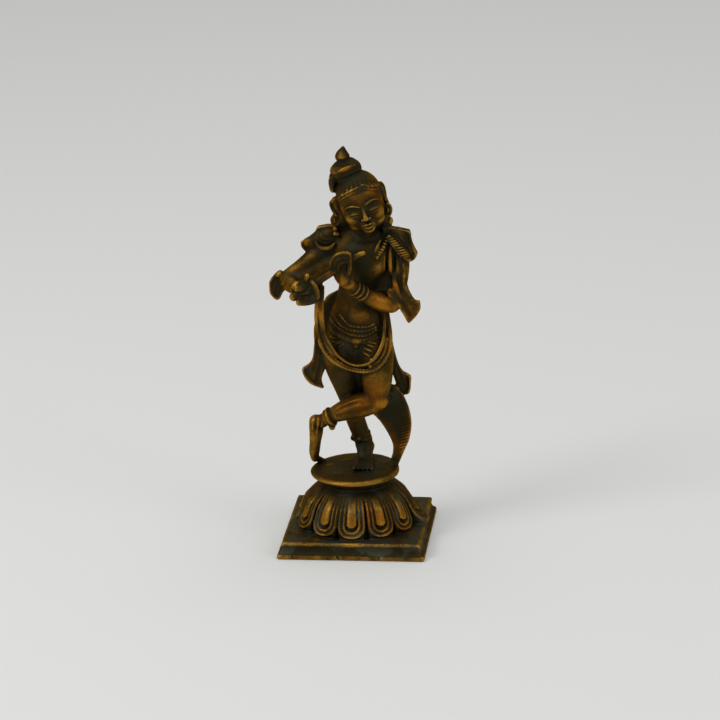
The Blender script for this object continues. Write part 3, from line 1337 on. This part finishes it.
def petalForm(number):
    # a long petal: a boss inside two raised borders and a flared lip that lies on the plate
    form = block(44)
    cube = readPoints(form.data)
    across, inward, fall = cube[:, 0], (cube[:, 1] + 1) / 2, (1 - cube[:, 2]) / 2
    straight, shoulder, relief = petal["straight"], petal["shoulder"], lotus["relief"]
    rounding = np.clip((fall - straight) / petal["curved"], 0, 1) * math.radians(petal["tipTurn"])
    t = np.where(fall < straight, fall / straight * shoulder, shoulder + (1 - shoulder) * np.sin(rounding))
    narrow = np.cos(rounding) ** petal["blunt"]
    down = np.clip((t - shoulder) / (1 - shoulder), 0, 1)
    aside = np.abs(across) * narrow
    nest = (aside ** petal["roundness"] + down ** petal["roundness"]) ** (1 / petal["roundness"])
    rise = np.interp(nest, petal["share"], petal["height"])
    boss = np.clip(1 - (aside / petal["bossWide"]) ** 2, 0, 1)
    bossEnd = petal["bossLong"] * np.sqrt(boss) - petal["floor"]
    dimple = ease((down - bossEnd) / petal["bossEdge"])
    dimple *= ease((petal["floorTo"] - nest) / petal["floorEdge"])
    rise = rise * (1 - dimple) + petal["floor"] * dimple
    # the relief dies away towards the neck
    fade = np.clip(petal["fade"] * t - petal["fadeStart"], petal["fadeLeast"], 1)
    drawn = petal["strayReach"] - lotus["reach"] if number == petal["stray"] else 0
    uneven = math.sin(petal["uneven"] * number)  # no two petals are quite alike
    flare = petal["flare"] * ease((t - petal["flareFrom"]) / petal["flareOver"])
    bell = bellRadius(t) + flare + drawn * t**4
    outer = bell - relief + relief * rise * fade
    # the inner face turns into the flat underside of the lip
    sole = ease((t - petal["soleFrom"]) / petal["soleOver"])
    inner = (bell - relief - petal["wall"]) * (1 - sole) + (outer - petal["lip"]) * sole
    radius = outer + (inner - outer) * inward
    middle = -math.pi / 2 + 2 * math.pi * (number + petal["unevenTurn"] * uneven) / lotus["petals"]
    draft = 1 - petal["draft"] * inward
    turn = middle + across * narrow * petal["fill"] * math.pi / lotus["petals"] * draft
    sag = petal["straySag"] * drawn + petal["unevenSag"] * uneven
    height = lotus["bellTop"] - t * (lotus["bellHeight"] - petal["lift"]) + sag * t * (1 - t)
    lip = (lotus["plate"]["high"] - petal["sunk"]) * sole
    under = (height - petal["undercut"] * t) * (1 - sole) + lip
    height += (under - height) * inward
    writePoints(form.data, np.stack([radius * np.cos(turn), radius * np.sin(turn), height], axis=1))
    return form


def plinthStrokes():
    half = lotus["flange"]["width"] / 2
    edge = lotus["plate"]["width"] / 2 - 0.3
    chips = {
        "nicks": [(-25.3, 0.3), (12.5, 0.6)],
        "notch": [(-6.2, -half + 0.4, 2), (-5.4, -half, 1.2), (-4.8, -half, 0.4)],
        "dents": [(-21, 1.6), (-9.4, 0.8), (3, 2.2), (14.6, 1), (22, 2)],
        "dentHeight": 6.9,
    }
    nicks = [
        [(x - wide, -half, 1.1), (x, -half, 1.5), (x + wide, -half + 0.5, 2)]
        for x, wide in chips["nicks"]
    ]
    high = chips["dentHeight"]
    dents = [[(x, -edge, high), (x + wide, -edge, high)] for x, wide in chips["dents"]]
    groups = [creased(0.7, -0.6, nicks), creased(1, -0.8, [chips["notch"]]), rounded(0.8, -0.18, dents)]
    return [group | {"space": Matrix.Identity(4)} for group in groups]


def makePlinth():
    cast = {"voxel": 0.28, "rounds": 2, "grain": 0.2, "pits": 0.14, "coreSteps": 8, "coreDrop": 0.86}
    profile = [(lotus["coreRadius"], lotus["plate"]["high"] - 1)]
    for step in range(cast["coreSteps"] + 1):
        t = cast["coreDrop"] * (1 - step / cast["coreSteps"])
        radius = min(bellRadius(t) - lotus["relief"] * 1.1, lotus["coreRadius"])
        profile.append((radius, lotus["bellTop"] - t * lotus["bellHeight"]))
    profile.append((lotus["neckRadius"] - 0.8, (lotus["bellTop"] + lotus["neckTop"]) / 2))
    profile.append((lotus["neckRadius"], lotus["neckTop"]))
    forms = [
        slabForm(lotus["flange"], flangeInset),
        slabForm(lotus["plate"], plateInset),
        turned(profile, 96),
    ]
    forms += [petalForm(number) for number in range(lotus["petals"])]
    piece = castTogether("lotusPlinth", forms, cast["voxel"], cast["rounds"])
    carveAll(piece, plinthStrokes())
    roughen(piece, cast["grain"], cast["pits"])
    writePoints(piece.data, np.clip(readPoints(piece.data), np.array(plinthLow), np.array(plinthHigh)))
    print("stage: plinth cast,", len(piece.data.vertices), "points")
    return piece


def spread(mesh):
    # the mean of each point's neighbours, for softening values over the skin
    ends = np.empty(len(mesh.edges) * 2, np.int64)
    mesh.edges.foreach_get("vertices", ends)
    a, b = ends.reshape(-1, 2).T
    size = len(mesh.vertices)
    counts = np.maximum(np.bincount(a, minlength=size) + np.bincount(b, minlength=size), 1)

    def mean(values):
        return (np.bincount(a, values[b], size) + np.bincount(b, values[a], size)) / counts

    return mean


def soften(mean, values, rounds):
    for _ in range(rounds):
        values = 0.5 * values + 0.5 * mean(values)
    return values


def markWear(piece, places):
    # values on every point: how proud it stands, how open it lies, and what is painted at places
    marks = {
        "fine": 6,  # rounds of softening that its height is measured against, and more rounds for broad
        "broad": 64,
        "fineUnit": 0.1,
        "broadUnit": 0.5,
        "fan": [(32, 4), (62, 6)],
        "fanTurn": 0.3,
        "reach": 16,
        "falloff": 0.7,
        "start": 0.05,
        "most": 4,
    }
    mesh = piece.data
    points = readPoints(mesh)
    normals = readNormals(mesh)
    mean = spread(mesh)
    proud = {}
    smooth = points.copy()
    for name in ("fine", "broad"):
        smooth = np.stack([soften(mean, smooth[:, axis], marks[name]) for axis in range(3)], axis=1)
        proud[name] = np.einsum("ij,ij->i", points - smooth, normals)
    tree = treeOf(piece)
    fan = [Vector((0, 0, 1))]
    for tilt, count in marks["fan"]:
        slope = math.radians(tilt)
        for number in range(count):
            turn = 2 * math.pi * (number + marks["fanTurn"]) / count
            x, y = math.cos(turn), math.sin(turn)
            fan.append(Vector((math.sin(slope) * x, math.sin(slope) * y, math.cos(slope))))
    fan = np.array(fan)
    helper = np.where(np.abs(normals[:, 2:3]) < 0.9, np.array([[0, 0, 1.0]]), np.array([[1.0, 0, 0]]))
    side = unit(np.cross(helper, normals))
    other = np.cross(normals, side)
    reach = marks["reach"]
    openness = np.empty(len(points))
    for i in range(len(points)):
        start = Vector(points[i] + marks["start"] * normals[i])
        seen = 0
        for ray in fan @ np.array((side[i], other[i], normals[i])):
            distance = tree.ray_cast(start, Vector(ray), reach)[3]
            seen += 1 if distance is None else (distance / reach) ** marks["falloff"]
        openness[i] = seen / len(fan)
    layers = {
        "fine": soften(mean, proud["fine"], 1) / marks["fineUnit"],
        "broad": proud["broad"] / marks["broadUnit"],
        "open": soften(mean, openness, 2),
    }
    for name, spots in places.items():
        layers[name] = np.zeros(len(points))
        for *centre, radius, amount in spots:
            distance = np.linalg.norm(points - np.array(centre), axis=1)
            layers[name] += amount * ease(1 - distance / radius)
    for name, values in layers.items():
        layer = mesh.attributes.new(name, "FLOAT", "POINT")
        layer.data.foreach_set("value", np.clip(values, -marks["most"], marks["most"]).astype(np.float32))
    print("stage:", piece.name, "wear marked")


def finishPiece(piece, most, places):
    makeActive(piece)
    count = len(piece.data.polygons) * 2
    if count > most:
        applyModifier(piece, "DECIMATE", ratio=most / count)
    markWear(piece, places)
    piece.scale = (mm, mm, mm)
    makeActive(piece)
    bpy.ops.object.transform_apply(location=True, rotation=True, scale=True)
    bpy.ops.object.shade_smooth()
    print("stage:", piece.name, "finished,", len(piece.data.polygons), "faces")


def figureSpots():
    # places (x, y, z) with the reach and the strength of what is painted there
    paint = {
        "rub": [
            (5.6, -9, 116, 9, 0.35), (0, -9, 127, 5, 0.5), (10, -8, 128.6, 4, 0.4), (5, -5, 132, 8, -1.2),
            (-2, -5, 130, 6, -1.3), (-1, 3, 135, 13, -1.1), (-1.6, -3, 136.4, 5, 0.9),
            (-7, 2, 128, 6, -1.3), (-3, 1, 141, 8, -1.3), (-3, -1, 140.6, 3.4, 1.6), (-13, 1, 103, 8, -1),
            (-19, 1, 101, 5, -0.5), (-21.6, 1, 100, 2.5, 0.8), (-11, -1, 99.4, 3.5, 0.7),
            (24, 3, 103, 7, -1), (19, -2, 102, 3.4, 0.7), (22.4, -2, 97.6, 4, 0.7),
            (13.4, -3, 99.4, 4, 0.7), (16.6, -3, 93, 5, 0.4), (21, -2, 90, 6, 0.5),
            (12.6, -4, 90.6, 5, 0.9), (14, -4, 96, 3.6, 0.6), (19, 0, 106, 4, -1.4), (14, 1, 107, 4, -1),
            (18.6, -3, 87, 4, -0.8), (22.4, -2, 86, 4, -0.9), (19.6, -5, 82, 4, -0.5),
            (15.6, -6, 81.6, 2.6, -0.9), (4, -2, 94, 11, -1.4), (-1, -3, 99, 7, -0.8),
            (6, -4, 105, 8, -0.9), (-7, 0, 80, 8, -0.6), (-11, -15, 91, 5, -1), (-17, -17, 84, 10, -1.2),
            (-1.6, -16, 91, 4, -0.6), (-22.4, -18, 87, 2.4, 0.2), (-23.4, -18, 80.4, 2.4, 0.5),
            (-2, -17, 98, 8, -1.2), (6.6, -15, 101.3, 2.6, 1), (5, -10, 82, 4, 0.7), (13, -8, 77, 8, 0.6),
            (17, -6, 79, 3, 0.6), (20, -5, 75, 3, 0.8), (23, -4, 70, 3, 0.8), (4.6, -7, 72, 6, -0.2),
            (-6, -7, 69, 5, 1.2), (-13, -8, 72, 9, 0.9), (-8, -7, 51, 8, 0.8), (6, -8, 47, 9, 0.8),
            (15, -4, 58, 8, 0.6), (0, -4, 54, 8, -0.6), (-6, -2, 42, 10, -0.7), (9.4, -10, 43, 9, -0.4),
            (12, -11, 39, 4.5, 0.4), (10.8, -11, 32, 6, 0.2), (2, -10, 31, 9, -0.2), (-6, -7, 28, 7, 0.3),
            (-19, -1, 14, 10, 0.45), (1, 4, 14, 12, -0.7), (3.5, -5, 1.5, 9, -1.3), (22, 1, 28, 6, -1),
            (16.6, 1, 34, 8, -1.3), (16, 2, 24, 8, -0.6), (20, 1, 18, 7, -0.5), (23.6, 1, 13, 4, 0.8),
            (21, 1, 8, 4, 0.8), (0, 0, 1, 16, -0.8),
        ],
        "copper": [
            (10, -9, 40, 11, 1.6), (4, -10, 34, 9, 1.8), (-4, -8, 28, 7, 0.9), (12, -8, 77, 9, 1.4),
            (13.4, -4, 91, 4, 1), (19, -5, 82, 6, 1.3), (18, -3, 88, 9, 1), (26, -3, 69, 5, 1),
            (-22, 1, 88, 7, 0.8), (5, -6, 70, 6, 1), (-1, -3, 136, 5, 1.6), (12, -10, 33, 6, 1.5),
            (-11, -15, 91, 5, -1.5), (-32, 1, 77, 5, 1), (5, -9, 124, 6, 0.3), (12, -7, 117, 5, 0.8),
            (-4, -16, 94, 5, 0.7), (16, -6, 55, 7, 0.8), (-19, 0, 17, 9, 0.9), (2, 0, 17, 9, 0.6),
            (18, 2, 8, 8, 0.9), (4, -4, 131, 8, -1.4), (-6, -4, 41, 9, -1.2), (17, 1, 33, 7, -1.2),
            (0, 0, 1, 16, -0.8),
        ],
        "green": [
            (-8, -6, 0, 12, 1.6), (6, -9, 0, 12, 1.4), (12, 4, 0, 9, 1), (0, -6, 54, 10, 1),
            (-6, -6, 42, 9, 1), (4, -4, 94, 10, 0.8), (5, -5, 131, 8, 1), (-14, 1, 103, 6, 0.6),
            (20, 4, 40, 8, 1), (17, 1, 32, 7, 1), (2, 3, 8, 8, 0.8),
        ],
        "discHalf": 12,
        "discSteps": 26,
        "discBright": (0.45, 0.09),
        "discMiddle": -0.6,
        "discRim": (19.9, -2.2, 3),
        "discEdge": (18, 0.8, 3, -0.6),
    }
    radius, height, size = paint["discRim"]
    inRadius, inHeight, inSize, inAmount = paint["discEdge"]
    middle, (brightest, fall) = paint["discMiddle"], paint["discBright"]
    for number in range(-paint["discHalf"], paint["discHalf"] + 1):
        turn = -math.pi / 2 + number * math.pi / paint["discSteps"]
        across, along = math.cos(turn), math.sin(turn)
        bright = brightest - fall * abs(number)
        paint["rub"] += [
            (radius * across + middle, radius * along + middle, height, size, bright),
            (inRadius * across + middle, inRadius * along + middle, inHeight, inSize, inAmount),
        ]
    return {
        name: [(*figureSpace @ Vector(centre), size, amount) for *centre, size, amount in paint[name]]
        for name in ("rub", "copper", "green")
    }


def plinthSpots():
    paint = {
        "green": [
            (-28, 8, 7.5, 8, 2.4), (-28, -12, 7.2, 8, 1), (27, 14, 8, 11, 1.8), (28, -6, 8, 8, 2),
            (28, -18, 8, 6, 1.2), (-24, -22, 7.2, 10, 1), (12, -28, 7.2, 10, 0.9), (-6, -30, 7.2, 9, 0.7),
            (0, -20, 26, 16, 0.8),
        ],
        "petal": [(25, 14, 0.9), (22.6, 20, 0.5), (28.6, 8, 1.1), (17.6, 28, -1.4)],
        "petalReach": 6,
        "petalCopper": (25, 15, 5, 1),
        "shaded": {3: 1.1, 4: 0.3, 9: 0.3},
        "sideHalf": 4,
        "sideGap": 7,
        "sides": {
            "rub": [(-31.4, 4, 4.5, -0.3), (-31.4, 1, 3, 0.4)],
            "copper": [(-31.4, 1, 3, 0.6), (-27.6, 7, 6, -1.3)],
            "green": [(-27.6, 7, 7, 0.9)],
        },
    }
    spots = {"rub": [], "copper": [], "green": paint["green"]}
    copperRadius, *copperRest = paint["petalCopper"]
    for number in range(lotus["petals"]):
        turn = -math.pi / 2 + 2 * math.pi * number / lotus["petals"]
        across, along = math.cos(turn), math.sin(turn)
        shaded = paint["shaded"].get(number, 0)
        for radius, height, amount in paint["petal"]:
            spots["rub"].append(
                (radius * across, radius * along, height, paint["petalReach"], amount - shaded)
            )
        spots["copper"].append((copperRadius * across, copperRadius * along, *copperRest))
    for side in range(4):
        across, along = math.cos(side * math.pi / 2), math.sin(side * math.pi / 2)
        for step in range(-paint["sideHalf"], paint["sideHalf"] + 1):
            x = paint["sideGap"] * step
            for name, rows in paint["sides"].items():
                spots[name] += [
                    (x * across - y * along, x * along + y * across, *rest)
                    for y, *rest in rows
                ]
    return spots


def bronze(name, tones):
    # cast bronze: gold where rubbed, brown between, a dark patina and a little verdigris where it lies deep
    paint = bpy.data.materials.new(name)
    paint.use_nodes = True
    nodes, links = paint.node_tree.nodes, paint.node_tree.links
    shader = nodes["Principled BSDF"]
    place = nodes.new("ShaderNodeTexCoord").outputs["Object"]

    def value(layer):
        node = nodes.new("ShaderNodeAttribute")
        node.attribute_name = layer
        return node.outputs["Fac"]

    def combine(kind, a, b, clamp=False):
        node = nodes.new("ShaderNodeMath")
        node.operation = kind
        node.use_clamp = clamp
        for socket, item in zip(node.inputs, (a, b)):
            if isinstance(item, (int, float)):
                socket.default_value = item
            else:
                links.new(item, socket)
        return node.outputs[0]

    def grain(scale, detail, rough=0.55):
        node = nodes.new("ShaderNodeTexNoise")
        node.inputs["Scale"].default_value = scale
        node.inputs["Detail"].default_value = detail
        node.inputs["Roughness"].default_value = rough
        links.new(place, node.inputs["Vector"])
        return node.outputs["Fac"]

    def step(item, low, high):
        node = nodes.new("ShaderNodeMapRange")
        node.interpolation_type = "SMOOTHSTEP"
        node.inputs["From Min"].default_value = low
        node.inputs["From Max"].default_value = high
        links.new(item, node.inputs["Value"])
        return node.outputs["Result"]

    def blend(share, a, b):
        node = nodes.new("ShaderNodeMix")
        node.data_type = "RGBA"
        links.new(share, node.inputs["Factor"])
        for socket, item in ((node.inputs[6], a), (node.inputs[7], b)):
            if isinstance(item, tuple):
                socket.default_value = (*item, 1)
            else:
                links.new(item, socket)
        return node.outputs[2]

    def lerp(share, a, b):
        return combine("ADD", combine("MULTIPLY", share, b - a), a)

    def weighted(item, weight):
        return combine("MULTIPLY", item, weight)

    patches = grain(tones["patchScale"], 5)
    fineGrain = grain(tones["grainScale"], 6, 0.65)
    wear = weighted(value("fine"), tones["fine"])
    for layer in ("broad", "rub"):
        wear = combine("ADD", wear, weighted(value(layer), tones[layer]))
    for item, middle, name in (
        (value("open"), tones["openMiddle"], "open"), (patches, 0.5, "patches"), (fineGrain, 0.5, "speckle")
    ):
        wear = combine("ADD", wear, weighted(combine("SUBTRACT", item, middle), tones[name]))
    brown = step(wear, *tones["brownSpan"])
    gold = step(wear, *tones["goldSpan"])
    deep = combine("SUBTRACT", 1, step(value("open"), *tones["deepSpan"]))
    spots = combine("ADD", grain(tones["greenScale"], 3), weighted(value("green"), tones["greenPaint"]))
    green = weighted(step(spots, *tones["greenSpan"]), tones["green"])
    green = weighted(green, combine("SUBTRACT", 1, gold))
    spots = combine("ADD", grain(tones["copperScale"], 3), weighted(value("copper"), tones["copperPaint"]))
    copper = step(spots, *tones["copperSpan"])
    base = blend(brown, tones["patina"], blend(copper, tones["brownTone"], tones["copperTone"]))
    base = blend(green, base, tones["greenTone"])
    base = blend(gold, base, blend(copper, tones["goldTone"], tones["warmTone"]))
    base = blend(weighted(deep, tones["sootMost"]), base, tones["soot"])
    links.new(base, shader.inputs["Base Color"])
    links.new(lerp(brown, *tones["metal"]), shader.inputs["Metallic"])
    shader.inputs["Specular IOR Level"].default_value = tones["specular"]
    shader.inputs["Specular Tint"].default_value = (*tones["specularTint"], 1)
    rough = combine("ADD", lerp(gold, *tones["rough"]), weighted(fineGrain, tones["roughGrain"]))
    links.new(rough, shader.inputs["Roughness"])
    bump = nodes.new("ShaderNodeBump")
    bump.inputs["Strength"].default_value = tones["bump"]
    bump.inputs["Distance"].default_value = tones["bumpDepth"]
    links.new(fineGrain, bump.inputs["Height"])
    links.new(bump.outputs["Normal"], shader.inputs["Normal"])
    return paint


bronzeTones = {
    "patina": (0.025, 0.021, 0.0095),
    "brownTone": (0.07, 0.038, 0.008),
    "copperTone": (0.13, 0.046, 0.005),
    "goldTone": (0.34, 0.18, 0.028),
    "warmTone": (0.34, 0.14, 0.014),
    "greenTone": (0.041, 0.043, 0.027),
    "soot": (0.006, 0.0052, 0.003),
    "patchScale": 130,
    "grainScale": 900,
    "greenScale": 90,
    "copperScale": 55,
    "fine": 0.3,
    "broad": 0.3,
    "rub": 0.6,
    "open": 0.9,
    "patches": 1.1,
    "speckle": 0.55,
    "openMiddle": 0.62,
    "brownSpan": (0, 0.7),
    "goldSpan": (0.5, 1.4),
    "deepSpan": (0.3, 0.75),
    "sootMost": 0.75,
    "green": 0.6,
    "greenSpan": (0.54, 0.7),
    "greenPaint": 0.14,
    "copperSpan": (0.5, 0.72),
    "copperPaint": 0.16,
    "metal": (0.8, 0.96),
    "rough": (0.5, 0.34),
    "roughGrain": 0.12,
    "specular": 0.2,
    "specularTint": (0.8, 0.6, 0.35),
    "bump": 0.35,
    "bumpDepth": 0.00025,
}
plinthTones = bronzeTones | {"green": 0.9, "greenTone": (0.056, 0.057, 0.037), "broad": 0.4, "open": 0.75}
triangles = {"figure": 190000, "plinth": 150000}

figure = makeFigure()
finishPiece(figure, triangles["figure"], figureSpots())
figure.data.materials.clear()
figure.data.materials.append(bronze("figureBronze", bronzeTones))
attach(figure, "root")
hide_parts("figure")

plinth = makePlinth()
finishPiece(plinth, triangles["plinth"], plinthSpots())
plinth.data.materials.clear()
plinth.data.materials.append(bronze("plinthBronze", plinthTones))
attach(plinth, "root")
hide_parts("lotus_plinth")


def makeStage():
    stage = {
        "floorSize": 12,
        "floor": (0.74, 0.745, 0.73),
        "floorRoughness": 0.8,
        "world": (0.7, 0.71, 0.705),
        "worldStrength": 0.56,
    }
    deselectAll()
    bpy.ops.mesh.primitive_plane_add(size=stage["floorSize"], location=(0, 0, 0))
    floor = bpy.context.object
    floor.name = "paleFloor"
    paint = bpy.data.materials.new("paleFloorPaint")
    paint.use_nodes = True
    surface = paint.node_tree.nodes["Principled BSDF"]
    surface.inputs["Base Color"].default_value = (*stage["floor"], 1)
    surface.inputs["Roughness"].default_value = stage["floorRoughness"]
    floor.data.materials.append(paint)
    world = bpy.data.worlds.new("paleRoom")
    bpy.context.scene.world = world
    world.use_nodes = True
    background = world.node_tree.nodes["Background"]
    background.inputs["Color"].default_value = (*stage["world"], 1)
    background.inputs["Strength"].default_value = stage["worldStrength"]


def makeLights():
    # place, target, size, power and colour of each soft square light
    lights = {
        "windowLeft": ((-0.8, -0.6, 0.9), (0, 0, 0.09), 0.5, 5, (1, 0.98, 0.95)),
        "fillRight": ((0.9, -0.5, 0.6), (0, 0, 0.09), 0.5, 1.6, (0.97, 0.98, 1)),
        "topSoft": ((0, 0.3, 2), (0, 0.2, 0), 2.2, 18.5, (1, 1, 1)),
    }
    for name, (place, target, size, power, colour) in lights.items():
        light = bpy.data.lights.new(name, "AREA")
        light.shape = "SQUARE"
        light.size = size
        light.energy = power
        light.color = colour
        lamp = bpy.data.objects.new(name, light)
        lamp.location = place
        lamp.rotation_euler = (Vector(target) - Vector(place)).to_track_quat("-Z", "Y").to_euler()
        bpy.context.scene.collection.objects.link(lamp)


def makeCamera():
    camera = {
        "focalPixels": 3450.9,
        "frame": 720,
        "sensor": 36,
        "place": (163.694, -1408.946, 547.394),
        "roll": -1.362,
        "farthest": 20,
    }
    data = bpy.data.cameras.new("photoView")
    data.sensor_width = camera["sensor"]
    data.lens = camera["focalPixels"] * camera["sensor"] / camera["frame"]
    data.clip_end = camera["farthest"]
    view = bpy.data.objects.new("photoView", data)
    right = sight.cross(Vector((0, 0, 1))).normalized()
    up = right.cross(sight)
    roll = math.radians(camera["roll"])
    tilted = right * math.cos(roll) + up * math.sin(roll)
    raised = up * math.cos(roll) - right * math.sin(roll)
    place = Vector(camera["place"]) * mm
    view.matrix_world = Matrix((
        (tilted.x, raised.x, -sight.x, place.x),
        (tilted.y, raised.y, -sight.y, place.y),
        (tilted.z, raised.z, -sight.z, place.z),
        (0, 0, 0, 1),
    ))
    bpy.context.scene.collection.objects.link(view)
    bpy.context.scene.camera = view


makeStage()
makeLights()
makeCamera()
bpy.context.scene.view_settings.view_transform = "Standard"
